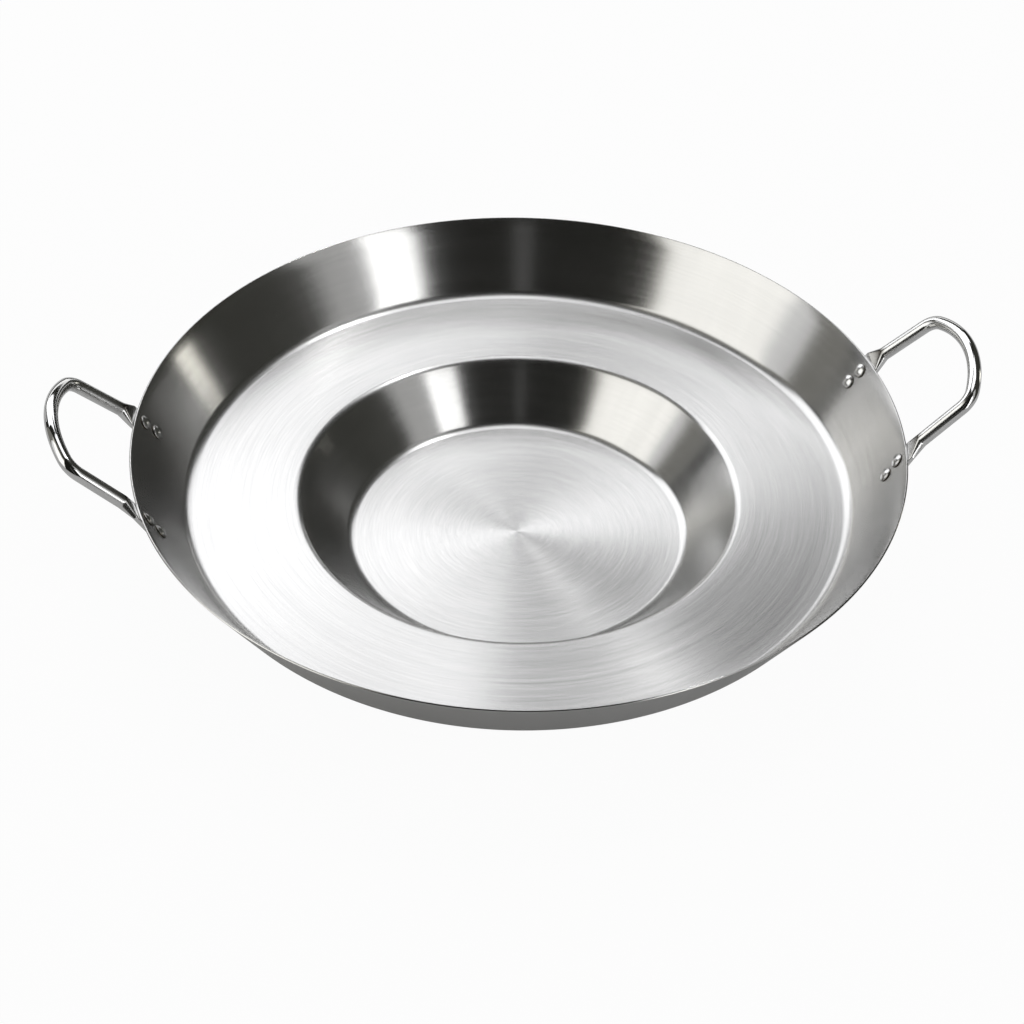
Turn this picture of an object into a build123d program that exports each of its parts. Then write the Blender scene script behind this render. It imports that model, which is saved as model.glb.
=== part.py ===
from build123d import *
from math import asin, atan2, ceil, cos, degrees, radians, sin, sqrt, tan
import os

# A two-handled steel comal: a round pan pressed from one sheet, with a flared wall, a flat
# ring and a deep well, and a bent rod handle riveted to each side.
# Millimetres, +Z up. The origin is the middle of the flat underside that the pan stands on.
# The handles lie along X, the right one on +X. Rear is +Y and front is -Y.

# Pan
SHEET = 1.5               # thickness of the steel sheet
RIM_DIAMETER = 558.8      # across the outside of the rim, 22 in
WALL_HEIGHT = 54.0        # from the ring up to the top of the rim
WALL_SLOPE = 57.5         # of the flared wall, in degrees above level
WELL_DIAMETER = 323.0     # across the well, where its side meets the ring
WELL_DEPTH = 41.0         # from the ring down to the floor of the well
WELL_SLOPE = 48.5         # of the side of the well, in degrees above level
WALL_BEND = 10.0          # radius of the upper face between ring and wall
WELL_BEND = 7.0           # radius of the upper face over the edge of the well
FLOOR_BEND = 9.0          # radius of the upper face round the floor of the well
SHEET_BEND_STEP = 28.0    # a bend of the sheet is drawn in straight runs that turn this much

# Handles
ROD_DIAMETER = 10.0       # of the round rod
HANDLE_REACH = 49.0       # level distance from the rim out to the middle of the grip
ARM_SLOPE = 42.5          # of the handle's plane, in degrees above level
ARM_TAPER = 4.5           # each arm leans in towards the grip by this many degrees
CORNER_RADIUS = 16.0      # between arm and grip, on the rod's centre line
GRIP_RADIUS = 80.0        # of the bowed grip, on the rod's centre line
ARM_RISE = 6.0            # from the rim up the line of the wall to the bend into the arm

# Flattened ends of the rod
FOOT_SPACING = 109.5      # between the middles of the two tabs of a handle
FOOT_DROP = 16.5          # from the rim down the wall to the middle of a tab's rivets
TAB_WIDTH = 19.5
TAB_THICKNESS = 3.6
TAB_END = 9.5             # from the lower rivet to the end of the tab
TAB_CORNER = 5.0          # radius of the tab's two corners, seen flat
TAB_BEVEL = 1.0           # of the tab's edges
TAB_START = 1.0           # the tab is flat from this far above the rim
FLARE_RISE = 6.0          # the flattening starts this far up the arm from its bend
FLARE_SIDES = 16          # sides of the flattening where it meets the round rod
FLARE_NECK = 0.15         # it meets the rod this far inside the rod's surface
TAB_CLEARANCE = 0.05      # between the tab and the wall at their nearest

# Rivets
RIVET_SIDES = 16          # a rivet and its hole are drawn with this many flat sides
RIVET_PITCH = 13.4        # between the two rivets of a tab
SHANK_DIAMETER = 6.0
HEAD_DIAMETER = 11.0      # of the domed head inside the pan
HEAD_HEIGHT = 2.6
TAIL_DIAMETER = 10.5      # of the head formed on the outside, over the tab
TAIL_HEIGHT = 2.2
HEAD_LAND = 0.8           # height of the upright edge round each head
CROWN_SHARE = 0.55        # width of the flat top of a head, as a share of its diameter
HOLE_CLEARANCE = 0.1      # round the shank, on the radius
HEAD_CLEARANCE = 0.1      # under the inner head, because the wall is curved

# Derived places
wall_slope = radians(WALL_SLOPE)
well_slope = radians(WELL_SLOPE)
tab_bevel = min(TAB_BEVEL, 0.45 * TAB_THICKNESS)
floor_z = SHEET
ring_z = floor_z + WELL_DEPTH
rim_z = ring_z + WALL_HEIGHT
rim_radius = RIM_DIAMETER / 2
rim_inner_radius = rim_radius - SHEET * sin(wall_slope)
rim_outer_z = rim_z - SHEET * cos(wall_slope)
ring_radius = rim_inner_radius - (rim_z - ring_z) / tan(wall_slope)
well_radius = WELL_DIAMETER / 2
floor_radius = well_radius - WELL_DEPTH / tan(well_slope)
tab_middle = TAB_CLEARANCE + TAB_THICKNESS / 2


def corners_of(path, step):
    """Corners of a path of lines and arcs, with each arc cut into chords of about this turn."""
    corners = [path @ 0]
    for edge in path.order_edges():
        turn = (edge % 0).get_angle(edge % 1)
        chords = max(1, ceil(turn / step))
        corners += [edge @ (chord / chords) for chord in range(1, chords + 1)]
    return corners


def make_pan():
    """The pan before it is drilled: one sheet of even thickness, turned about Z."""
    rounded = FilletPolyline(
        (0, floor_z),
        (floor_radius, floor_z),
        (well_radius, ring_z),
        (ring_radius, ring_z),
        (rim_inner_radius, rim_z),
        radius=[FLOOR_BEND, WELL_BEND, WALL_BEND],
    )
    upper_face = Polyline(*corners_of(rounded, SHEET_BEND_STEP))
    sheet = make_face(offset(upper_face, SHEET, kind=Kind.INTERSECTION, side=Side.RIGHT))
    return revolve(Plane.XZ * sheet, Axis.Z)


def arm_direction(side):
    """Direction of an arm, from the pan up to the grip. The side is 1 for +Y and -1 for -Y."""
    slope = radians(ARM_SLOPE)
    taper = radians(ARM_TAPER)
    return Vector(cos(slope) * cos(taper), -side * sin(taper), sin(slope) * cos(taper))


def tab_plane(side):
    """Plane that touches the outside of the wall between a tab's rivets.

    Its X runs up the tab in line with the arm, and its Z points away from the wall.
    """
    radius = rim_radius - FOOT_DROP * cos(wall_slope)
    azimuth = side * asin(FOOT_SPACING / 2 / radius)
    origin = Vector(
        radius * cos(azimuth), radius * sin(azimuth), rim_outer_z - FOOT_DROP * sin(wall_slope)
    )
    outward = Vector(
        sin(wall_slope) * cos(azimuth), sin(wall_slope) * sin(azimuth), -cos(wall_slope)
    )
    arm = arm_direction(side)
    along = (arm - outward * arm.dot(outward)).normalized()
    return Plane(origin=origin, x_dir=along, z_dir=outward)


def height_on_tab(side, rise):
    """Place on the tab's X of a point that lies this far above the rim, up the wall's slope."""
    up_tab = tab_plane(side).x_dir.Z
    return (FOOT_DROP + rise) * sin(wall_slope) / up_tab


def arm_bend(side):
    """Point on the centre line of the rod where the tab bends into the arm."""
    return tab_plane(side).from_local_coords((height_on_tab(side, ARM_RISE), 0, tab_middle))


def make_flare(side):
    """The stretch where the round rod is forged flat and bent onto the line of the wall.

    It is the hull of the tab's outline and of the rod's, so its facets run from one to the other.
    """
    plane = tab_plane(side)
    arm = arm_direction(side)
    tab_top = plane.from_local_coords((height_on_tab(side, TAB_START), 0, tab_middle))
    rod_end = arm_bend(side) + arm * FLARE_RISE
    tab_section = Plane(origin=tab_top, x_dir=plane.y_dir, z_dir=plane.x_dir)
    rod_section = Plane(origin=rod_end, x_dir=plane.y_dir, z_dir=arm)
    half_width = TAB_WIDTH / 2
    half_thick = TAB_THICKNESS / 2
    tab_outline = [
        (x * way, y * turn)
        for x, y in ((half_width, half_thick - tab_bevel), (half_width - tab_bevel, half_thick))
        for way in (1, -1)
        for turn in (1, -1)
    ]
    neck_radius = ROD_DIAMETER / 2 - FLARE_NECK
    angles = [radians(360 * corner / FLARE_SIDES) for corner in range(FLARE_SIDES)]
    rod_outline = [(neck_radius * cos(angle), neck_radius * sin(angle)) for angle in angles]
    return ConvexPolyhedron(
        [tab_section.from_local_coords((x, y, 0)) for x, y in tab_outline]
        + [rod_section.from_local_coords((x, y, 0)) for x, y in rod_outline]
    )


def make_tab(side):
    """The flat end of the rod, which lies on the outside of the wall."""
    top = height_on_tab(side, TAB_START)
    end = -RIVET_PITCH / 2 - TAB_END
    plate = Pos((top + end) / 2, 0, tab_middle) * Box(top - end, TAB_WIDTH, TAB_THICKNESS)
    corners = plate.edges().filter_by(Axis.Z).group_by(Axis.X)[0]
    plate = fillet(corners, TAB_CORNER)
    faces = plate.faces().sort_by(Axis.Z)
    bevelled = [e for e in faces[0].edges() + faces[-1].edges() if e.center().X < top - tab_bevel]
    plate = chamfer(bevelled, tab_bevel)
    return tab_plane(side) * plate


def rod_path():
    """Centre line of the round rod, from one flattening to the other, in the handle's plane."""
    rear = arm_bend(1)
    slope = radians(ARM_SLOPE)
    taper = radians(ARM_TAPER)
    uphill = Vector(cos(slope), 0, sin(slope))
    plane = Plane(origin=(rear.X, 0, rear.Z), x_dir=uphill, z_dir=uphill.cross(Vector(0, 1, 0)))
    # In this plane X runs out from the pan to the grip, and the arms mirror about it
    apex = (RIM_DIAMETER / 2 + HANDLE_REACH - rear.X) / cos(slope)
    grip_centre = Vector(apex - GRIP_RADIUS, 0)
    arm_way = Vector(cos(taper), -sin(taper))
    inward = Vector(-sin(taper), -cos(taper))
    arm_start = Vector(0, rear.Y) + arm_way * FLARE_RISE
    # The corner's centre is one corner radius inside the arm, and inside the grip's circle
    offset_start = arm_start + inward * CORNER_RADIUS
    to_start = offset_start - grip_centre
    projection = to_start.dot(arm_way)
    reach = (GRIP_RADIUS - CORNER_RADIUS) ** 2 - to_start.dot(to_start) + projection ** 2
    corner_centre = offset_start + arm_way * (sqrt(reach) - projection)
    outward = (corner_centre - grip_centre).normalized()
    corner_start = corner_centre - inward * CORNER_RADIUS
    corner_middle = corner_centre + (outward - inward).normalized() * CORNER_RADIUS
    corner_end = corner_centre + outward * CORNER_RADIUS

    def mirrored(point):
        return Vector(point.X, -point.Y)

    flat_path = [
        Line(arm_start, corner_start),
        ThreePointArc(corner_start, corner_middle, corner_end),
        ThreePointArc(corner_end, Vector(apex, 0), mirrored(corner_end)),
        ThreePointArc(mirrored(corner_end), mirrored(corner_middle), mirrored(corner_start)),
        Line(mirrored(corner_start), mirrored(arm_start)),
    ]
    return plane * Wire([path.edge() for path in flat_path])


def make_drills():
    """The four holes of a handle, as rods that pass through the sheet and the tab."""
    reach = 2 * (SHEET + TAB_CLEARANCE + TAB_THICKNESS)
    hole = RegularPolygon(SHANK_DIAMETER / 2 + HOLE_CLEARANCE, RIVET_SIDES)
    drill = extrude(hole, reach, both=True)
    return [tab_plane(side) * Pos(x, 0, 0) * drill for side in (1, -1) for x in rivet_places()]


def rivet_places():
    """Places of the upper and the lower rivet on a tab's X."""
    return (RIVET_PITCH / 2, -RIVET_PITCH / 2)


def make_handle(drills):
    """The right handle: a rod bent to a loop, with two flattened and drilled ends."""
    path = rod_path()
    rod = sweep(Plane(origin=path @ 0, z_dir=path % 0) * Circle(ROD_DIAMETER / 2), path=path)
    ends = [make(side) for side in (1, -1) for make in (make_flare, make_tab)]
    handle = rod.fuse(*ends).clean()
    return handle.cut(*drills)


def rivet_head(diameter, height):
    """A rivet head on the XY plane: an upright edge, then a slope up to a flat crown."""
    outline = RegularPolygon(diameter / 2, RIVET_SIDES)
    crown_height = height - HEAD_LAND
    slope = degrees(atan2(diameter / 2 * (1 - CROWN_SHARE), crown_height))
    crown = extrude(Pos(0, 0, HEAD_LAND) * outline, crown_height, taper=slope)
    return extrude(outline, HEAD_LAND) + crown


def make_rivet():
    """A rivet along Z, as it lies in a tab's plane: head inside the pan, tail over the tab."""
    inner_seat = -SHEET - HEAD_CLEARANCE
    outer_seat = TAB_CLEARANCE + TAB_THICKNESS
    head = Pos(0, 0, inner_seat) * Rot(180, 0, 0) * rivet_head(HEAD_DIAMETER, HEAD_HEIGHT)
    tail = Pos(0, 0, outer_seat) * rivet_head(TAIL_DIAMETER, TAIL_HEIGHT)
    shank_outline = RegularPolygon(SHANK_DIAMETER / 2, RIVET_SIDES)
    shank = extrude(Pos(0, 0, inner_seat) * shank_outline, outer_seat - inner_seat)
    return head + shank + tail


def write_node(name, shape):
    """Write one piece to its own file, and print its volume and size."""
    solids = shape.solids()
    box = shape.bounding_box()
    export_step(solids[0] if len(solids) == 1 else shape, f"parts/{name}.step")
    print(f"{name}: {len(solids)} solid, {shape.volume:.0f} mm3, valid {shape.is_valid}, {box}")


def main():
    """Build every piece and write it."""
    os.makedirs("parts", exist_ok=True)
    half_turn = Rot(0, 0, 180)
    drills = make_drills()
    right_handle = make_handle(drills)
    pan = make_pan().cut(*drills, *[half_turn * drill for drill in drills])
    write_node("pan_body", pan)
    write_node("right_handle", right_handle)
    write_node("left_handle", half_turn * right_handle)
    rivet = make_rivet()
    for side in (1, -1):
        for x, level in zip(rivet_places(), ("upper", "lower")):
            placed = tab_plane(side) * Pos(x, 0, 0) * rivet
            write_node(f"rivet_right_{'rear' if side > 0 else 'front'}_{level}", placed)
            write_node(f"rivet_left_{'front' if side > 0 else 'rear'}_{level}", half_turn * placed)


main()
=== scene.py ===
import logging
from dataclasses import dataclass
from enum import Enum
from math import asin, atan2, cos, hypot, pi, radians, sin, sqrt, tan
from typing import Iterable, Sequence

import bmesh
import bpy
from mathutils import Matrix, Vector


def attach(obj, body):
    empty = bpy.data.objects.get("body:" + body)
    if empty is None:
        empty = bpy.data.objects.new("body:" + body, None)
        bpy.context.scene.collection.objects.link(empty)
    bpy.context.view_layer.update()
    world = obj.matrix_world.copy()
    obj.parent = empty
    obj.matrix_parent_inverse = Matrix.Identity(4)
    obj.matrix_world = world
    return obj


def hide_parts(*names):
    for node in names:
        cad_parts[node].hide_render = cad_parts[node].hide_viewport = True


# A stainless steel comal: a round pan pressed from one sheet, with a flared wall, a flat ring
# and a deep well, and a bent rod handle riveted to each side. Metres, +Z up, handles along X.
# WELD is how near two points have to be to become one, and MID is the middle of a noise.

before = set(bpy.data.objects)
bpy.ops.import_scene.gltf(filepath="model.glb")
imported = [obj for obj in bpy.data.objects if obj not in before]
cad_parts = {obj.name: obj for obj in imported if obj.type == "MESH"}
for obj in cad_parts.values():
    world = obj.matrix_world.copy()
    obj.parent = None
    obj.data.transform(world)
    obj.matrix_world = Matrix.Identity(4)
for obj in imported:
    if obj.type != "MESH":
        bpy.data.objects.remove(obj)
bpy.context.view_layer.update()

Ring = list[bmesh.types.BMVert]
Colour = tuple[float, float, float, float]
Tint = tuple[float, float, float]

MM = 0.001
WELD = 0.001 * MM
MID = 0.5
WHITE: Colour = (1.0, 1.0, 1.0, 1.0)
log = logging.getLogger("comal")


# Shading


class Signal:
    """An output socket in a node tree, on which arithmetic adds Math nodes."""

    def __init__(self, shader: "Shader", socket: bpy.types.NodeSocket) -> None:
        """Wrap a socket.

        Args:
            shader: The tree that the socket is in.
            socket: The output socket.
        """
        self.shader = shader
        self.socket = socket

    def beside(self, output: str) -> "Signal":
        """Return another output of the same node."""
        return Signal(self.shader, self.socket.node.outputs[output])

    def _math(self, operation: str, first: "Value", second: "Value") -> "Signal":
        """Return the result of a Math node on two values."""
        return self.shader.add("ShaderNodeMath", {"operation": operation}, {0: first, 1: second})

    def __add__(self, other: "Value") -> "Signal":
        """Add."""
        return self._math("ADD", self, other)

    __radd__ = __add__

    def __sub__(self, other: "Value") -> "Signal":
        """Subtract."""
        return self._math("SUBTRACT", self, other)

    def __rsub__(self, other: "Value") -> "Signal":
        """Subtract from a number."""
        return self._math("SUBTRACT", other, self)

    def __mul__(self, other: "Value") -> "Signal":
        """Multiply."""
        return self._math("MULTIPLY", self, other)

    __rmul__ = __mul__

    def __truediv__(self, other: "Value") -> "Signal":
        """Divide."""
        return self._math("DIVIDE", self, other)

    def __pow__(self, other: "Value") -> "Signal":
        """Raise to a power."""
        return self._math("POWER", self, other)


Value = Signal | float | Sequence[float]


class Shader:
    """The node tree of a material or a world, under construction."""

    def __init__(self, owner: bpy.types.Material | bpy.types.World) -> None:
        """Start an empty tree.

        Args:
            owner: The material or world.
        """
        owner.use_nodes = True
        self.owner = owner
        self.tree = owner.node_tree
        self.tree.nodes.clear()

    def add(
        self,
        kind: str,
        settings: dict[str, object] | None = None,
        sockets: dict[str | int, Value] | None = None,
        output: str | int = 0,
    ) -> Signal:
        """Add a node.

        Args:
            kind: The node's type.
            settings: Its properties, set first.
            sockets: The values or links of its inputs.
            output: The output to return.

        Returns:
            That output.
        """
        node = self.tree.nodes.new(kind)
        for name, value in (settings or {}).items():
            setattr(node, name, value)
        for name, value in (sockets or {}).items():
            if isinstance(value, Signal):
                self.tree.links.new(value.socket, node.inputs[name])
            else:
                node.inputs[name].default_value = value
        return Signal(self, node.outputs[output])

    def position(self) -> tuple[Signal, Signal, Signal]:
        """Read the place on the piece, in the object's own frame.

        Returns:
            Its X, Y and Z, in metres.
        """
        place = self.add("ShaderNodeTexCoord", output="Object")
        x = self.add("ShaderNodeSeparateXYZ", sockets={"Vector": place}, output="X")
        return x, x.beside("Y"), x.beside("Z")

    def noise(self, x: Value, y: Value, z: Value, detail: float = 2.0,
              roughness: float = 0.55) -> Signal:
        """Add noise from 0 to 1.

        Args:
            x: First coordinate, in grains.
            y: Second coordinate, in grains.
            z: Third coordinate, in grains.
            detail: Number of finer layers.
            roughness: How strong each of them is beside the one before.

        Returns:
            The noise at that place.
        """
        place = self.add("ShaderNodeCombineXYZ", sockets={"X": x, "Y": y, "Z": z})
        sockets = {"Vector": place, "Scale": 1.0, "Detail": detail, "Roughness": roughness}
        return self.add("ShaderNodeTexNoise", sockets=sockets)

    def mix(self, factor: Value, first: Value, second: Value) -> Signal:
        """Return a blend of two colours, from the first at 0 to the second at 1."""
        settings = {"data_type": "RGBA", "clamp_factor": True}
        return self.add("ShaderNodeMix", settings, {0: factor, 6: first, 7: second}, output=2)

    def near(self, place: Signal, middle: float, reach: float) -> Signal:
        """Mark where a signal is near a value.

        Args:
            place: The signal.
            middle: The value, where the mark is 1.
            reach: Distance from it at which the mark has fallen to 0.

        Returns:
            The mark.
        """
        away = self.add("ShaderNodeMath", {"operation": "ABSOLUTE"}, {0: place - middle})
        settings = {"interpolation_type": "SMOOTHSTEP"}
        sockets = {"Value": away, "From Max": reach, "To Min": 1.0, "To Max": 0.0}
        return self.add("ShaderNodeMapRange", settings, sockets)

    def metal(self, color: Signal, roughness: Signal, height: Signal, strength: float,
              distance: float, others: dict[str, float] | None = None) -> Signal:
        """Add a bare metal.

        Args:
            color: Its colour.
            roughness: Its roughness.
            height: Height of its surface, from 0 to 1.
            strength: Strength of the bump that the height makes.
            distance: Depth of that bump in metres.
            others: Other inputs of the shader, by name.

        Returns:
            The surface.
        """
        bump = {"Strength": strength, "Distance": distance, "Height": height}
        normal = self.add("ShaderNodeBump", sockets=bump)
        sockets = {"Base Color": color, "Metallic": 1.0, "Roughness": roughness, "Normal": normal}
        return self.add("ShaderNodeBsdfPrincipled", sockets={**sockets, **(others or {})})

    def finish(
        self, surface: Signal, output: str = "ShaderNodeOutputMaterial"
    ) -> bpy.types.Material | bpy.types.World:
        """Link a surface to the tree's output.

        Args:
            surface: The surface.
            output: The output node's type.

        Returns:
            The material or world.
        """
        node = self.tree.nodes.new(output)
        self.tree.links.new(surface.socket, node.inputs["Surface"])
        return self.owner


# The pan's sizes and the finishes


@dataclass(frozen=True)
class PanShape:
    """Sizes of the pan's sheet, on its upper face, but for the rim's radius, which is outermost."""

    sheet: float = 1.5 * MM
    rim_radius: float = 279.4 * MM
    wall_height: float = 54.0 * MM
    wall_slope: float = radians(57.5)
    well_radius: float = 161.5 * MM
    well_depth: float = 41.0 * MM
    well_slope: float = radians(48.5)
    wall_bend: float = 10.0 * MM
    well_bend: float = 7.0 * MM
    floor_bend: float = 9.0 * MM
    rim_round: float = 0.45 * MM

    @property
    def floor_z(self) -> float:
        """Height of the floor of the well."""
        return self.sheet

    @property
    def ring_z(self) -> float:
        """Height of the ring."""
        return self.floor_z + self.well_depth

    @property
    def rim_z(self) -> float:
        """Height of the top of the rim."""
        return self.ring_z + self.wall_height

    @property
    def rim_outer_z(self) -> float:
        """Height of the outer corner of the rim's edge."""
        return self.rim_z - self.sheet * cos(self.wall_slope)

    @property
    def rim_inner(self) -> float:
        """Radius of the inner corner of the rim's edge."""
        return self.rim_radius - self.sheet * sin(self.wall_slope)

    @property
    def ring_radius(self) -> float:
        """Radius at which the ring would meet the wall without a bend."""
        return self.rim_inner - self.wall_height / tan(self.wall_slope)

    @property
    def floor_radius(self) -> float:
        """Radius at which the floor would meet the side of the well without a bend."""
        return self.well_radius - self.well_depth / tan(self.well_slope)


@dataclass(frozen=True)
class Grain:
    """A layer of brushing.

    Attributes:
        across: Changes in a metre across the brushing.
        along: How fast it changes on its way round.
        share: How strongly it shows in the steel's tone.
    """

    across: float
    along: float
    share: float


@dataclass(frozen=True)
class BrushedSteel:
    """Stainless sheet brushed in rings about Z, as a pan is when it turns on the polishing lathe.

    Attributes:
        hub: Radius inside which the brushing loses its direction.
        flat_reach: How near to the height of the ring or the floor a place is flat.
        wall_groove: Depth of the brushing on slopes, as a share of the bump.
        flat_groove: Its depth on the flats.
        turn: Direction of the brushing, as a share of a full turn.
    """

    shape: PanShape
    name: str = "brushed_pan_steel"
    dark: Colour = (0.50, 0.50, 0.495, 1.0)
    light: Colour = (0.70, 0.695, 0.685, 1.0)
    broad: Grain = Grain(across=70.0, along=0.8, share=0.12)
    lines: Grain = Grain(across=420.0, along=1.6, share=0.33)
    fine: Grain = Grain(across=1300.0, along=4.0, share=0.40)
    cloud_scale: float = 9.0
    cloud_share: float = 0.15
    sweep: Grain = Grain(across=5.0, along=9.0, share=0.5)
    hub: float = 0.1 * MM
    flat_reach: float = 4.0 * MM
    wall_contrast: float = 0.8
    flat_contrast: float = 1.2
    wall_roughness: float = 0.21
    flat_roughness: float = 0.24
    line_roughness: float = 0.08
    cloud_roughness: float = 0.05
    wall_groove: float = 1.6
    flat_groove: float = 1.2
    bump_strength: float = 0.06
    bump_depth: float = 0.4 * MM
    anisotropy: float = 0.85
    turn: float = 0.25

    def build(self) -> bpy.types.Material:
        """Build the material.

        Returns:
            The material.
        """
        shader = Shader(bpy.data.materials.new(self.name))
        x, y, z = shader.position()
        radius = (x * x + y * y) ** 0.5
        across = radius + z
        # The hub keeps these from dividing by zero at the centre
        way_x = x / (radius + self.hub)
        way_y = y / (radius + self.hub)

        def brushed(grain: Grain) -> Signal:
            """Return the noise of a layer, drawn out into lines round the pan."""
            return shader.noise(across * grain.across, way_x * grain.along, way_y * grain.along)

        broad, lines, fine = (brushed(grain) for grain in (self.broad, self.lines, self.fine))
        cloud = shader.noise(*(axis * self.cloud_scale for axis in (x, y, z)))
        sweep = shader.noise(
            way_x * self.sweep.along, way_y * self.sweep.along, across * self.sweep.across
        )
        ring = shader.near(z, self.shape.ring_z, self.flat_reach)
        flat = ring + shader.near(z, self.shape.floor_z, self.flat_reach)
        tone = self.broad.share * broad + self.lines.share * lines
        tone = tone + self.fine.share * fine + self.cloud_share * cloud - MID
        tone = tone * (self.wall_contrast + flat * self.flat_contrast) + MID
        tone = tone + (sweep - MID) * (1.0 - flat) * self.sweep.share
        roughness = self.wall_roughness + flat * (self.flat_roughness - self.wall_roughness)
        roughness = roughness + (lines - MID) * self.line_roughness
        roughness = roughness + (cloud - MID) * self.cloud_roughness
        groove = self.wall_groove + flat * (self.flat_groove - self.wall_groove)
        surface = shader.metal(
            shader.mix(tone, self.dark, self.light), roughness, (lines + fine) * 0.5 * groove,
            self.bump_strength, self.bump_depth,
            {"Anisotropic": self.anisotropy, "Anisotropic Rotation": self.turn},
        )
        return shader.finish(surface)


@dataclass(frozen=True)
class PolishedSteel:
    """Polished rod or rivet, with fine drawing lines and a few handling marks.

    Attributes:
        painted_shade_depth: Middle of the painted contact shadow, as a distance from the wall's
            inner face towards the bowl.
        painted_shade_reach: How far the painted shadow reaches from there.
        forged_depth: Where the metal is dullest from forging, measured in the same way.
        forged_reach: How far the dullness reaches from there.
    """

    shape: PanShape
    name: str
    roughness: float = 0.045
    dark: Colour = (0.62, 0.62, 0.62, 1.0)
    light: Colour = (0.80, 0.80, 0.79, 1.0)
    # Colour of the painted contact shadow where a rivet head or a tab meets the wall
    painted_shade_colour: Colour = (0.06, 0.05, 0.035, 1.0)
    smear_scale: float = 60.0
    smear_share: float = 0.85
    smear_roughness: float = 0.04
    grain_scale: float = 900.0
    grain_detail: float = 1.0
    painted_shade_depth: float = 0.25 * MM
    painted_shade_reach: float = 1.6 * MM
    forged_depth: float = -5.0 * MM
    forged_reach: float = 12.0 * MM
    forged_roughness: float = 0.2
    bump_strength: float = 0.003
    bump_depth: float = 0.1 * MM

    def build(self) -> bpy.types.Material:
        """Build the material, with painted shadow where metal meets the wall and duller forged
        ends.

        Returns:
            The material.
        """
        shader = Shader(bpy.data.materials.new(self.name))
        x, y, z = shader.position()
        smear = shader.noise(*(axis * self.smear_scale for axis in (x, y, z)))
        grain = shader.noise(*(axis * self.grain_scale for axis in (x, y, z)), self.grain_detail)
        depth = self._depth((x * x + y * y) ** 0.5, z)
        # Painted contact shadow: the colour turns dark brown near the wall's inner face, where
        # heads and tabs meet it
        painted_shade = shader.near(depth, self.painted_shade_depth, self.painted_shade_reach)
        forged = shader.near(depth, self.forged_depth, self.forged_reach)
        tone = self.smear_share * smear + (1.0 - self.smear_share) * grain
        color = shader.mix(painted_shade, shader.mix(tone, self.dark, self.light), self.painted_shade_colour)
        roughness = self.roughness + (smear - MID) * self.smear_roughness
        roughness = roughness + forged * self.forged_roughness
        surface = shader.metal(color, roughness, grain, self.bump_strength, self.bump_depth)
        return shader.finish(surface)

    def _depth(self, radius: Signal, z: Signal) -> Signal:
        """Return the distance from the wall's inner face, in metres, towards the bowl."""
        outward = (radius - self.shape.ring_radius) * sin(self.shape.wall_slope)
        return (z - self.shape.ring_z) * cos(self.shape.wall_slope) - outward


# Mesh helpers


def dress(mesh: bmesh.types.BMesh, name: str, material: bpy.types.Material,
          sharp: float = 40.0) -> bpy.types.Object:
    """Turn a bmesh into a shaded object at the origin.

    Args:
        mesh: The bmesh, which is freed.
        name: The object's name.
        material: Its material.
        sharp: Edges that turn by more than this many degrees stay sharp.

    Returns:
        The object.
    """
    bmesh.ops.recalc_face_normals(mesh, faces=mesh.faces)
    for face in mesh.faces:
        face.smooth = True
    for edge in mesh.edges:
        edge.smooth = edge.calc_face_angle(0.0) < radians(sharp)
    data = bpy.data.meshes.new(name)
    mesh.to_mesh(data)
    mesh.free()
    data.materials.append(material)
    piece = bpy.data.objects.new(name, data)
    bpy.context.scene.collection.objects.link(piece)
    return piece


def chain(mesh: bmesh.types.BMesh, points: Iterable[tuple[float, float]]) -> Ring:
    """Join points of the XZ plane by edges.

    Args:
        mesh: The bmesh to add to.
        points: Distance from the axis and height of each point.

    Returns:
        The new vertices.
    """
    corners = [mesh.verts.new((radius, 0.0, height)) for radius, height in points]
    for first, second in zip(corners, corners[1:]):
        mesh.edges.new((first, second))
    return corners


def round_corner(mesh: bmesh.types.BMesh, corner: bmesh.types.BMVert, radius: float,
                 segments: int) -> None:
    """Round a corner of a chain to an arc of this radius.

    Args:
        mesh: The bmesh.
        corner: The vertex between two edges.
        radius: Radius of the arc.
        segments: Number of straight runs in it.
    """
    ways = [(edge.other_vert(corner).co - corner.co).normalized() for edge in corner.link_edges]
    turn = pi - ways[0].angle(ways[1])
    bmesh.ops.bevel(
        mesh, geom=[corner], offset=radius * tan(turn / 2), offset_type="OFFSET",
        affect="VERTICES", segments=segments, profile=0.5, material=-1,
    )


def turn_full(mesh: bmesh.types.BMesh, steps: int) -> None:
    """Turn everything in a bmesh full circle about Z, and close it on the axis."""
    bmesh.ops.spin(
        mesh, geom=mesh.verts[:] + mesh.edges[:], cent=(0, 0, 0), axis=(0, 0, 1),
        angle=2 * pi, steps=steps, use_merge=True, use_duplicate=False,
    )
    bmesh.ops.remove_doubles(mesh, verts=mesh.verts, dist=WELD)


def end_edges(ring: Ring) -> list[bmesh.types.BMEdge]:
    """Return the edges that join the vertices of an open end, each once."""
    edges = [edge for vert in ring for edge in vert.link_edges if edge.other_vert(vert) in ring]
    return list(dict.fromkeys(edges))


def bend_end(mesh: bmesh.types.BMesh, ring: Ring, centre: Vector, axis: Vector, angle: float,
             steps: int) -> Ring:
    """Carry the open end of a rod round an arc.

    Args:
        mesh: The bmesh.
        ring: Vertices of the open end.
        centre: Centre of the arc.
        axis: Axis of the arc.
        angle: How far the rod bends.
        steps: Number of runs in the arc.

    Returns:
        The vertices of the new end.
    """
    made = bmesh.ops.spin(
        mesh, geom=ring + end_edges(ring), cent=centre, axis=axis, angle=angle, steps=steps,
        use_merge=False, use_duplicate=False,
    )["geom_last"]
    return [vert for vert in made if isinstance(vert, bmesh.types.BMVert)]


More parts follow.
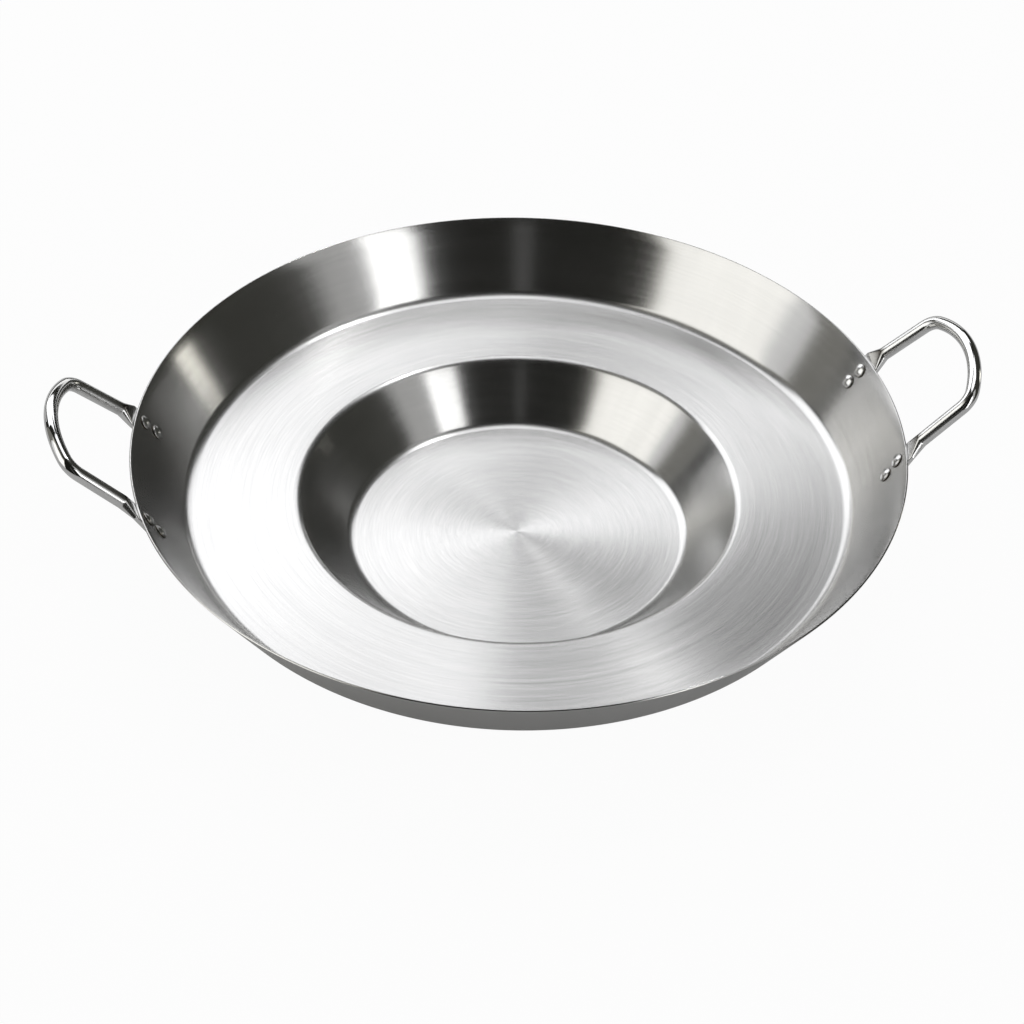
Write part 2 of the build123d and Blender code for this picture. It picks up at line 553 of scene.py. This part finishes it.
def carry_end(mesh: bmesh.types.BMesh, ring: Ring, goal: list[Vector]) -> Ring:
    """Extrude the open end of a rod to a new outline.

    Args:
        mesh: The bmesh.
        ring: Vertices of the open end.
        goal: Where each of them goes.

    Returns:
        The vertices of the new end, in the same order.
    """
    made = bmesh.ops.extrude_edge_only(mesh, edges=end_edges(ring))["geom"]
    fresh = {vert for vert in made if isinstance(vert, bmesh.types.BMVert)} - set(ring)
    partner = {}
    for vert in fresh:
        for edge in vert.link_edges:
            other = edge.other_vert(vert)
            if other not in fresh:
                partner[other] = vert
    moved = [partner[old] for old in ring]
    for vert, place in zip(moved, goal):
        vert.co = place
    return moved


# The comal


@dataclass
class Pan:
    """The pan: one pressed sheet with a rim, a flared wall, a flat ring and a well."""

    shape: PanShape
    material: bpy.types.Material
    around: int = 288
    bend_steps: int = 9
    rim_steps: int = 3
    longest_run: float = 25.0 * MM
    run_cuts: int = 5
    rim_turn: float = radians(60)

    def build(self) -> bpy.types.Object:
        """Turn the sheet's upper face, give it its thickness and round the rim's edge.

        Returns:
            The pan.
        """
        shape = self.shape
        mesh = bmesh.new()
        upper = chain(mesh, [
            (0, shape.floor_z), (shape.floor_radius, shape.floor_z),
            (shape.well_radius, shape.ring_z), (shape.ring_radius, shape.ring_z),
            (shape.rim_inner, shape.rim_z),
        ])
        bends = (shape.floor_bend, shape.well_bend, shape.wall_bend)
        for corner, bend in zip(upper[1:], bends):
            round_corner(mesh, corner, bend, self.bend_steps)
        long_runs = [edge for edge in mesh.edges if edge.calc_length() > self.longest_run]
        bmesh.ops.subdivide_edges(mesh, edges=long_runs, cuts=self.run_cuts)
        turn_full(mesh, self.around)
        bmesh.ops.recalc_face_normals(mesh, faces=mesh.faces)
        # The sheet gets its thickness behind its faces, so they have to look up
        upward = sum(face.normal.z * face.calc_area() for face in mesh.faces)
        if upward < 0:
            bmesh.ops.reverse_faces(mesh, faces=mesh.faces)
        bmesh.ops.solidify(mesh, geom=mesh.faces[:], thickness=shape.sheet)
        edges = [edge for edge in mesh.edges if self._on_rim(edge)]
        bmesh.ops.bevel(
            mesh, geom=edges, offset=shape.rim_round, offset_type="OFFSET", affect="EDGES",
            segments=self.rim_steps, profile=0.5, material=-1,
        )
        piece = dress(mesh, "pan", self.material)
        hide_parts("pan_body")
        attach(piece, "root")
        return piece

    def _on_rim(self, edge: bmesh.types.BMEdge) -> bool:
        """Return whether an edge is in one of the two circles of the trimmed rim."""
        turns = edge.calc_face_angle(0.0) > self.rim_turn
        return turns and min(vert.co.z for vert in edge.verts) > self.shape.ring_z


@dataclass
class RivetSeat:
    """Place of a tab on the outside of the wall, for one end of a handle."""

    shape: PanShape
    side: int
    spacing: float = 109.5 * MM
    drop: float = 16.5 * MM
    arm_slope: float = radians(42.5)
    arm_taper: float = radians(4.5)

    def arm(self) -> Vector:
        """Work out the arm's direction.

        Returns:
            The direction, from the pan up to the grip.
        """
        level = cos(self.arm_slope) * cos(self.arm_taper)
        rise = sin(self.arm_slope) * cos(self.arm_taper)
        return Vector((level, -self.side * sin(self.arm_taper), rise))

    def matrix(self) -> Matrix:
        """Work out the tab's frame.

        Returns:
            The frame: X up the tab, Z away from the wall.
        """
        slope = self.shape.wall_slope
        radius = self.shape.rim_radius - self.drop * cos(slope)
        azimuth = self.side * asin(self.spacing / 2 / radius)
        height = self.shape.rim_outer_z - self.drop * sin(slope)
        origin = Vector((radius * cos(azimuth), radius * sin(azimuth), height))
        outward = Vector((sin(slope) * cos(azimuth), sin(slope) * sin(azimuth), -cos(slope)))
        arm = self.arm()
        along = (arm - outward * arm.dot(outward)).normalized()
        across = outward.cross(along)
        turn = Matrix((along, across, outward)).transposed().to_4x4()
        return Matrix.Translation(origin) @ turn

    def height(self, rise: float) -> float:
        """Return the place on the tab's X of a point this far above the rim, up the wall."""
        along = self.matrix().col[0]
        return (self.drop + rise) * sin(self.shape.wall_slope) / along.z


@dataclass
class Handle:
    """A handle: a round rod bent to a loop, with its ends forged flat into riveting tabs.

    Attributes:
        flare_shares: Where the flare has its loops, close together at its two creases.
        side_share: Share of a quarter of the rod's outline that goes to half a tab's side.
        corner_share: Share of it that goes to the rounding between side and face.
        tip_angles: Where the rounding of the tab's tip has its loops, in degrees.
    """

    shape: PanShape
    material: bpy.types.Material
    name: str
    turned: bool
    rod_radius: float = 4.97 * MM
    reach: float = 49.0 * MM
    corner_radius: float = 16.0 * MM
    grip_radius: float = 80.0 * MM
    arm_rise: float = 6.0 * MM
    flare_rise: float = 6.0 * MM
    tab_width: float = 19.5 * MM
    tab_thickness: float = 3.6 * MM
    tab_end: float = 9.5 * MM
    tab_corner: float = 5.0 * MM
    tab_round: float = 1.1 * MM
    tab_start: float = 1.0 * MM
    tab_clearance: float = 0.05 * MM
    crease: float = 0.8 * MM
    rivet_pitch: float = 13.4 * MM
    sides: int = 48
    arc_steps: int = 22
    flare_shares: tuple[float, ...] = (0.06, 0.35, 0.65, 0.94, 1.0)
    side_share: float = 0.06
    corner_share: float = 0.80
    tab_step: float = 6.0 * MM
    tab_steps: int = 3
    tip_angles: tuple[float, ...] = (0, 18, 34, 50, 64, 76, 85, 90)

    @property
    def outer(self) -> float:
        """Distance from the wall to the outer face of a tab."""
        return self.tab_clearance + self.tab_thickness

    @property
    def middle(self) -> float:
        """Distance from the wall to the middle of a tab."""
        return self.tab_clearance + self.tab_thickness / 2

    def build(self) -> bpy.types.Object:
        """Build half the handle, from the middle of its grip to a tab, and mirror it.

        Returns:
            The handle.
        """
        seat = RivetSeat(self.shape, 1)
        slope, taper = seat.arm_slope, seat.arm_taper
        tab = seat.matrix()
        bend = tab @ Vector((seat.height(self.arm_rise), 0, self.middle))
        uphill = Vector((cos(slope), 0, sin(slope)))
        across = Vector((0, 1, 0))
        normal = uphill.cross(across)
        origin = Vector((bend.x, 0, bend.z))

        def place(x: float, y: float) -> Vector:
            """Return a point of the handle's plane: X out to the grip, Y along the grip."""
            return origin + uphill * x + across * y

        apex = (self.shape.rim_radius + self.reach - bend.x) / cos(slope)
        grip_x = apex - self.grip_radius
        way = Vector((cos(taper), -sin(taper)))
        start = Vector((0, bend.y)) + way * self.flare_rise
        corner = self._corner(start - Vector((grip_x, 0)), way)
        half_bow = atan2(corner.y, corner.x)
        corner_turn = pi / 2 - taper - half_bow

        mesh = bmesh.new()
        ring = bmesh.ops.create_circle(
            mesh, cap_ends=False, segments=self.sides, radius=self.rod_radius
        )["verts"]
        # The circle starts at the middle of the grip, square to Y, its first corner up the slope
        axes = Matrix((uphill, normal, across)).transposed().to_4x4()
        bmesh.ops.transform(mesh, matrix=Matrix.Translation(place(apex, 0)) @ axes, verts=ring)
        ring = bend_end(mesh, ring, place(grip_x, 0), normal, half_bow, self.arc_steps)
        centre = place(grip_x + corner.x, corner.y)
        ring = bend_end(mesh, ring, centre, normal, corner_turn, self.arc_steps)
        arm_end = place(start.x, start.y)
        ring_middle = sum((vert.co for vert in ring), Vector()) / len(ring)
        down = -seat.arm()
        arm_length = (arm_end - ring_middle).dot(down)
        for run in (arm_length - self.crease, self.crease):
            ring = carry_end(mesh, ring, [vert.co + down * run for vert in ring])
        self._forge(mesh, ring, seat, tab, arm_end)
        halves = mesh.verts[:] + mesh.edges[:] + mesh.faces[:]
        bmesh.ops.mirror(mesh, geom=halves, matrix=Matrix(), merge_dist=WELD, axis="Y")
        bmesh.ops.remove_doubles(mesh, verts=mesh.verts, dist=WELD)
        if self.turned:
            half_turn = Matrix.Rotation(pi, 3, "Z")
            bmesh.ops.rotate(mesh, cent=(0, 0, 0), matrix=half_turn, verts=mesh.verts)
        piece = dress(mesh, f"{self.name}_polished", self.material, sharp=50.0)
        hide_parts(self.name)
        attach(piece, "root")
        return piece

    def _corner(self, start: Vector, way: Vector) -> Vector:
        """Find the centre of the arc that leads from the bowed grip into the arm.

        Args:
            start: The arm's end at the flare, from the centre of the grip's bow.
            way: The arm's direction in the handle's plane.

        Returns:
            The centre, from the centre of the grip's bow.
        """
        inward = Vector((way.y, -way.x))
        offset = start + inward * self.corner_radius
        along = offset.dot(way)
        apart = self.grip_radius - self.corner_radius
        return offset + way * (sqrt(apart**2 - offset.dot(offset) + along**2) - along)

    def _forge(self, mesh: bmesh.types.BMesh, ring: Ring, seat: RivetSeat, tab: Matrix,
               arm_end: Vector) -> None:
        """Flatten the end of the rod into the tab, and close it.

        Straight lines run from the round rod to the tab's outline, as under a forging die.

        Args:
            mesh: The bmesh.
            ring: Vertices of the rod's open end, where the flattening starts.
            seat: The tab's seat.
            tab: The tab's frame.
            arm_end: Middle of the open end.
        """
        angles = self._angles(ring, arm_end, tab.col[1].to_3d(), -seat.arm())
        half_width = self.tab_width / 2
        top = seat.height(self.tab_start)
        tip_start = self.tab_corner - self.rivet_pitch / 2 - self.tab_end
        start = [vert.co.copy() for vert in ring]
        goal = self._tab_outline(tab, angles, top, half_width)
        for share in self.flare_shares:
            places = [old.lerp(new, share) for old, new in zip(start, goal)]
            ring = carry_end(mesh, ring, places)
        stations = [top - self.crease]
        stations += [top - self.tab_step * step for step in range(1, self.tab_steps + 1)]
        stations += [tip_start - self.tab_corner * sin(radians(turn)) for turn in self.tip_angles]
        for place in stations:
            past = max(tip_start - place, 0.0)
            inset = self.tab_corner - sqrt(max(self.tab_corner**2 - past**2, 0.0))
            goal = self._tab_outline(tab, angles, place, half_width - inset)
            ring = carry_end(mesh, ring, goal)
        bmesh.ops.contextual_create(mesh, geom=end_edges(ring))

    @staticmethod
    def _angles(ring: Ring, middle: Vector, across: Vector, heading: Vector) -> list[float]:
        """Measure the angle of each vertex of a round end about its middle.

        Args:
            ring: Vertices of the end.
            middle: Its middle.
            across: Direction in which the angle is 0.
            heading: Direction in which the rod goes on.

        Returns:
            The angles, in the vertices' order.
        """
        through = heading.cross(across)
        spokes = [vert.co - middle for vert in ring]
        return [atan2(spoke.dot(through), spoke.dot(across)) for spoke in spokes]

    def _tab_outline(self, tab: Matrix, angles: list[float], place: float,
                     half_width: float) -> list[Vector]:
        """Draw the tab's outline.

        Args:
            tab: The tab's frame.
            angles: Angle of each point on the round rod.
            place: Place along the tab.
            half_width: Half the tab's width there.

        Returns:
            A point for each angle.
        """
        flat = [self._flat_point(angle, half_width) for angle in angles]
        return [tab @ Vector((place, point.x, self.middle - point.y)) for point in flat]

    def _flat_point(self, angle: float, half_width: float) -> Vector:
        """Place one point of the tab's outline.

        Args:
            angle: The point's angle on the round rod.
            half_width: Half the tab's width.

        Returns:
            The point, across the tab and through it.
        """
        quarter = radians(90)
        turns, rest = divmod(angle % (2 * pi), quarter)
        share = rest / quarter if turns % 2 == 0 else 1 - rest / quarter
        thick, edge = self.tab_thickness / 2, self.tab_round
        if share < self.side_share:
            point = Vector((half_width, (thick - edge) * share / self.side_share))
        elif share < self.side_share + self.corner_share:
            turn = quarter * (share - self.side_share) / self.corner_share
            point = Vector((half_width - edge + edge * cos(turn), thick - edge + edge * sin(turn)))
        else:
            left = (1 - share) / (1 - self.side_share - self.corner_share)
            point = Vector(((half_width - edge) * left, thick))
        return Vector((
            point.x if cos(angle) >= 0 else -point.x,
            point.y if sin(angle) >= 0 else -point.y,
        ))


@dataclass
class Rivet:
    """A domed rivet through the wall and a tab.

    Attributes:
        side: 1 or -1, the end of the right handle that it holds, before any half turn.
        place: Place of its axis on the tab's X.
    """

    handle: Handle
    material: bpy.types.Material
    name: str
    side: int
    place: float
    shank: float = 3.0 * MM
    head: float = 5.5 * MM
    head_height: float = 2.6 * MM
    head_clearance: float = 0.1 * MM
    tail: float = 5.25 * MM
    tail_height: float = 2.2 * MM
    land: float = 0.7 * MM
    around: int = 48
    dome_steps: int = 8

    def build(self) -> bpy.types.Object:
        """Turn the rivet and put it in its hole.

        Returns:
            The rivet.
        """
        shape = self.handle.shape
        inner = -shape.sheet - self.head_clearance
        outer = self.handle.outer
        mesh = bmesh.new()
        points = self._dome(self.head, self.head_height, inner, -1)
        points += [(self.head, inner), (self.shank, inner)]
        points += [(self.shank, outer), (self.tail, outer)]
        points += self._dome(self.tail, self.tail_height, outer, 1)[::-1]
        chain(mesh, points)
        turn_full(mesh, self.around)
        matrix = RivetSeat(shape, self.side).matrix() @ Matrix.Translation((self.place, 0, 0))
        if self.handle.turned:
            matrix = Matrix.Rotation(pi, 4, "Z") @ matrix
        bmesh.ops.transform(mesh, matrix=matrix, verts=mesh.verts)
        piece = dress(mesh, f"{self.name}_head", self.material, sharp=60.0)
        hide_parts(self.name)
        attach(piece, "root")
        return piece

    def _dome(self, radius: float, height: float, seat: float,
              way: int) -> list[tuple[float, float]]:
        """Draw the profile of a head, from its crown on the axis to its upright edge.

        Args:
            radius: Radius of the head.
            height: Height of its crown over its seat.
            seat: Height of the seat on the rivet's axis.
            way: 1 where the head points outwards from the wall and -1 where it points inwards.

        Returns:
            Distance from the axis and height of each point.
        """
        rise = height - self.land
        sphere = (radius**2 + rise**2) / (2 * rise)
        half = asin(radius / sphere)
        turns = [half * step / self.dome_steps for step in range(self.dome_steps + 1)]
        return [
            (sphere * sin(turn), seat + way * (height - sphere * (1 - cos(turn))))
            for turn in turns
        ]


class Side(Enum):
    """The two sides of the pan: whether the pieces are turned half a turn about Z."""

    RIGHT = False
    LEFT = True

    def rivet_name(self, way: int, level: str) -> str:
        """Name a rivet as its CAD node is named.

        Args:
            way: 1 or -1, the tab's side of the right handle.
            level: upper or lower.

        Returns:
            The name.
        """
        rear = (way > 0) != self.value
        return f"rivet_{self.name.lower()}_{'rear' if rear else 'front'}_{level}"


# The studio


WARM: Tint = (1.0, 0.975, 0.88)
COOL: Tint = (0.975, 0.98, 1.0)
BLACK: Tint = (0.019, 0.019, 0.016)
CARD_FOOT = -0.9
CARD_TOP = 89.0


@dataclass(frozen=True)
class SoftBox:
    """A soft box that faces the pan. Its angles are in degrees, as seen from the pan.

    Attributes:
        name: Its name.
        azimuth: Its direction, from the camera's right, turning towards the rear.
        elevation: Its height above level.
        spread: Half its width.
        rise: Half its height.
        radiance: How bright its face is, where 1 is white.
        lean: How far its top leans to the right.
        tint: Its colour.
    """

    name: str
    azimuth: float
    elevation: float
    spread: float
    rise: float
    radiance: float
    lean: float = 0.0
    tint: Tint = (1.0, 1.0, 1.0)


@dataclass(frozen=True)
class Card:
    """A curved card round the pan, seen only in reflections, with its angles in degrees.

    Attributes:
        name: Its name.
        first: Its first azimuth, from the camera's right, turning towards the rear.
        last: Its last azimuth.
        grey: Its colour.
        foot: Elevation of its lower edge.
        across_steps: Number of faces from its first to its last azimuth.
        up_steps: Number of faces from its lower to its upper edge.
    """

    name: str
    first: float
    last: float
    grey: Tint
    foot: float = CARD_FOOT
    across_steps: int = 12
    up_steps: int = 6


SOFT_BOXES = (
    SoftBox("left_box", azimuth=200, elevation=35, spread=20, rise=25, lean=15, radiance=0.6,
            tint=WARM),
    SoftBox("rear_box", azimuth=120, elevation=38, spread=23, rise=16, lean=-25, radiance=1.9,
            tint=COOL),
    SoftBox("rear_right_box", azimuth=80, elevation=36, spread=7, rise=5, lean=15, radiance=1.9,
            tint=COOL),
    SoftBox("high_box", azimuth=75, elevation=70, spread=13, rise=15, lean=-40, radiance=1.7,
            tint=COOL),
    SoftBox("front_right_strip", azimuth=-50, elevation=20, spread=7, rise=30, lean=-15,
            radiance=2.3),
    SoftBox("front_right_fill", azimuth=-30, elevation=33, spread=11, rise=30, lean=-30,
            radiance=0.5),
    SoftBox("rear_low_strip", azimuth=110, elevation=13, spread=42, rise=4, radiance=1.3),
    SoftBox("right_low_strip", azimuth=27, elevation=5, spread=3.5, rise=5.5, radiance=2.5,
            tint=WARM),
    SoftBox("camera_glow", azimuth=-90, elevation=25, spread=2.5, rise=22, radiance=0.1),
    SoftBox("high_spot", azimuth=53, elevation=65, spread=0.8, rise=0.8, radiance=220),
)
# Between the left edge and the camera's side the white surround shows under the top card
CARDS = (
    Card("camera_side", first=-137, last=-30, grey=(0.012, 0.012, 0.01)),
    Card("right_side", first=-30, last=60, grey=(0.042, 0.042, 0.036)),
    Card("rear_side", first=60, last=158, grey=BLACK),
    Card("left_edge", first=158, last=172, grey=(0.22, 0.215, 0.195)),
    Card("left_top", first=172, last=223, grey=BLACK, foot=52),
)


@dataclass(frozen=True)
class Viewpoint:
    """The camera at the photograph's viewing angle.

    Attributes:
        frame_px: Side of the photograph.
        focal_px: Focal length, in its pixels.
        right_px: How far the aim stands to the right of the frame's centre.
        down_px: How far it stands below it.
        elevation: Height of the camera above level, as an angle.
        roll: Turn about the view.
        distance: From the aim.
        aim_z: Height of the aim.
        sensor: Width of the camera's sensor, in millimetres.
        clip: Nearest and furthest distance that it sees.
    """

    frame_px: float = 1024.0
    focal_px: float = 2297.6
    right_px: float = 5.55
    down_px: float = -24.71
    elevation: float = radians(40.333)
    roll: float = radians(1.276)
    distance: float = 1.69374
    aim_z: float = 44.5 * MM
    sensor: float = 36.0
    clip: tuple[float, float] = (0.05, 50.0)

    def build(self, azimuth: float) -> None:
        """Set the camera.

        Args:
            azimuth: How far the right handle is turned from the camera's right.
        """
        data = bpy.data.cameras.new("photograph")
        data.sensor_width = self.sensor
        data.lens = self.focal_px * self.sensor / self.frame_px
        data.clip_start, data.clip_end = self.clip
        camera = bpy.data.objects.new("photograph", data)
        bpy.context.scene.collection.objects.link(camera)
        lift = Matrix.Translation((0, 0, self.aim_z))
        turn = Matrix.Rotation(-azimuth, 4, "Z")
        place = Vector((0, -cos(self.elevation), sin(self.elevation))) * self.distance
        tilt = Matrix.Rotation(pi / 2 - self.elevation, 4, "X")
        yaw = Matrix.Rotation(atan2(self.right_px, self.focal_px), 4, "Y")
        pitch_angle = atan2(self.down_px, hypot(self.focal_px, self.right_px))
        pitch = Matrix.Rotation(pitch_angle, 4, "X")
        spin = Matrix.Rotation(self.roll, 4, "Z")
        camera.matrix_world = lift @ turn @ Matrix.Translation(place) @ tilt @ yaw @ pitch @ spin
        bpy.context.scene.camera = camera


@dataclass
class Studio:
    """White floor and surround, soft boxes, dark cards and the camera.

    Attributes:
        azimuth: How far the right handle is turned from the camera's right.
        target_z: Height on the pan's axis that the boxes and cards stand round.
        floor_shown: How white the floor shows in the picture, where 1 is white.
        floor_mirrored: How much of that whiteness shows in reflections.
        shade: How bright the surround is as a light, beside 1 where it is seen.
    """

    azimuth: float = radians(8.79)
    target_z: float = 45.0 * MM
    lamp_distance: float = 2.6
    card_distance: float = 3.6
    floor_radius: float = 6.0
    floor_sides: int = 64
    floor_colour: Colour = (0.6, 0.6, 0.6, 1.0)
    floor_shown: float = 0.96
    floor_mirrored: float = 0.05
    shade: float = 0.3

    @property
    def target(self) -> Vector:
        """The point that the boxes and cards stand round."""
        return Vector((0, 0, self.target_z))

    def build(self) -> None:
        """Build the whole studio."""
        self._floor()
        self._surround()
        for box in SOFT_BOXES:
            self._soft_box(box)
        for card in CARDS:
            self._card(card)
        Viewpoint().build(self.azimuth)
        bpy.context.scene.view_settings.view_transform = "Standard"

    def _soft_box(self, box: SoftBox) -> None:
        """Hang a soft box.

        Args:
            box: The soft box.
        """
        width = 2 * self.lamp_distance * tan(radians(box.spread))
        height = 2 * self.lamp_distance * tan(radians(box.rise))
        data = bpy.data.lights.new(box.name, "AREA")
        data.shape = "RECTANGLE"
        data.size, data.size_y = width, height
        data.energy = box.radiance * pi * width * height
        data.color = box.tint
        lamp = bpy.data.objects.new(box.name, data)
        bpy.context.scene.collection.objects.link(lamp)
        around, up = radians(box.azimuth) - self.azimuth, radians(box.elevation)
        outward = Vector((cos(around) * cos(up), sin(around) * cos(up), sin(up)))
        place = Matrix.Translation(self.target + outward * self.lamp_distance)
        facing = (-outward).to_track_quat("-Z", "Y").to_matrix().to_4x4()
        lamp.matrix_world = place @ facing @ Matrix.Rotation(radians(box.lean), 4, "Z")

    def _card(self, card: Card) -> None:
        """Stand a card.

        Args:
            card: The card.
        """
        mesh = bmesh.new()
        height = CARD_TOP - card.foot
        rises = [
            radians(card.foot + height * step / card.up_steps)
            for step in range(card.up_steps + 1)
        ]
        chain(mesh, [
            (self.card_distance * cos(rise), self.card_distance * sin(rise)) for rise in rises
        ])
        first, last = (radians(azimuth) - self.azimuth for azimuth in (card.first, card.last))
        turn = Matrix.Rotation(first, 3, "Z")
        bmesh.ops.rotate(mesh, cent=(0, 0, 0), matrix=turn, verts=mesh.verts)
        bmesh.ops.spin(
            mesh, geom=mesh.verts[:] + mesh.edges[:], cent=(0, 0, 0), axis=(0, 0, 1),
            angle=last - first, steps=card.across_steps, use_merge=False, use_duplicate=False,
        )
        bmesh.ops.translate(mesh, vec=self.target, verts=mesh.verts)
        shader = Shader(bpy.data.materials.new(f"{card.name}_paper"))
        sockets = {"Color": (*card.grey, 1.0), "Strength": 1.0}
        glow = shader.add("ShaderNodeEmission", sockets=sockets)
        piece = dress(mesh, card.name, shader.finish(glow), sharp=180.0)
        piece.visible_camera = False
        piece.visible_diffuse = False
        piece.visible_shadow = False

    def _floor(self) -> None:
        """Lay the white floor, which keeps a faint shadow."""
        mesh = bmesh.new()
        bmesh.ops.create_circle(
            mesh, cap_ends=True, segments=self.floor_sides, radius=self.floor_radius
        )
        shader = Shader(bpy.data.materials.new("white_floor"))
        paper = shader.add("ShaderNodeBsdfDiffuse", sockets={"Color": self.floor_colour})
        glow = shader.add("ShaderNodeEmission", sockets={"Color": WHITE, "Strength": 1.0})
        direct, bounced = self._seen(shader)
        share = direct * self.floor_shown + bounced * self.floor_mirrored
        surface = shader.add("ShaderNodeMixShader", sockets={0: share, 1: paper, 2: glow})
        dress(mesh, "floor", shader.finish(surface))

    def _surround(self) -> None:
        """Make the world: a plain grey light that shows as white."""
        shader = Shader(bpy.data.worlds.new("studio"))
        direct, bounced = self._seen(shader)
        sockets = {"Value": direct + bounced, "To Min": self.shade, "To Max": 1.0}
        level = shader.add("ShaderNodeMapRange", sockets=sockets)
        light = shader.add("ShaderNodeBackground", sockets={"Color": WHITE, "Strength": level})
        bpy.context.scene.world = shader.finish(light, "ShaderNodeOutputWorld")

    @staticmethod
    def _seen(shader: Shader) -> tuple[Signal, Signal]:
        """Tell which rays see the studio.

        Args:
            shader: The shader of the floor or the surround.

        Returns:
            1 for rays from the camera, and 1 for rays from metal or glass.
        """
        direct = shader.add("ShaderNodeLightPath", output="Is Camera Ray")
        bounced = direct.beside("Is Glossy Ray") + direct.beside("Is Transmission Ray")
        return direct, bounced


def report(piece: bpy.types.Object) -> None:
    """Log a finished piece."""
    log.info("%s: %d faces", piece.name, len(piece.data.polygons))


def main() -> None:
    """Build the comal and its studio."""
    logging.basicConfig(level=logging.INFO, format="%(message)s")
    shape = PanShape()
    report(Pan(shape, BrushedSteel(shape).build()).build())
    handle_steel = PolishedSteel(shape, "polished_handle_steel").build()
    rivet_steel = PolishedSteel(shape, "polished_rivet_steel", roughness=0.16).build()
    for side in Side:
        handle = Handle(shape, handle_steel, f"{side.name.lower()}_handle", side.value)
        report(handle.build())
        for way in (1, -1):
            for level, up in (("upper", 0.5), ("lower", -0.5)):
                name = side.rivet_name(way, level)
                report(Rivet(handle, rivet_steel, name, way, up * handle.rivet_pitch).build())
    Studio().build()


if __name__ == "__main__":
    main()
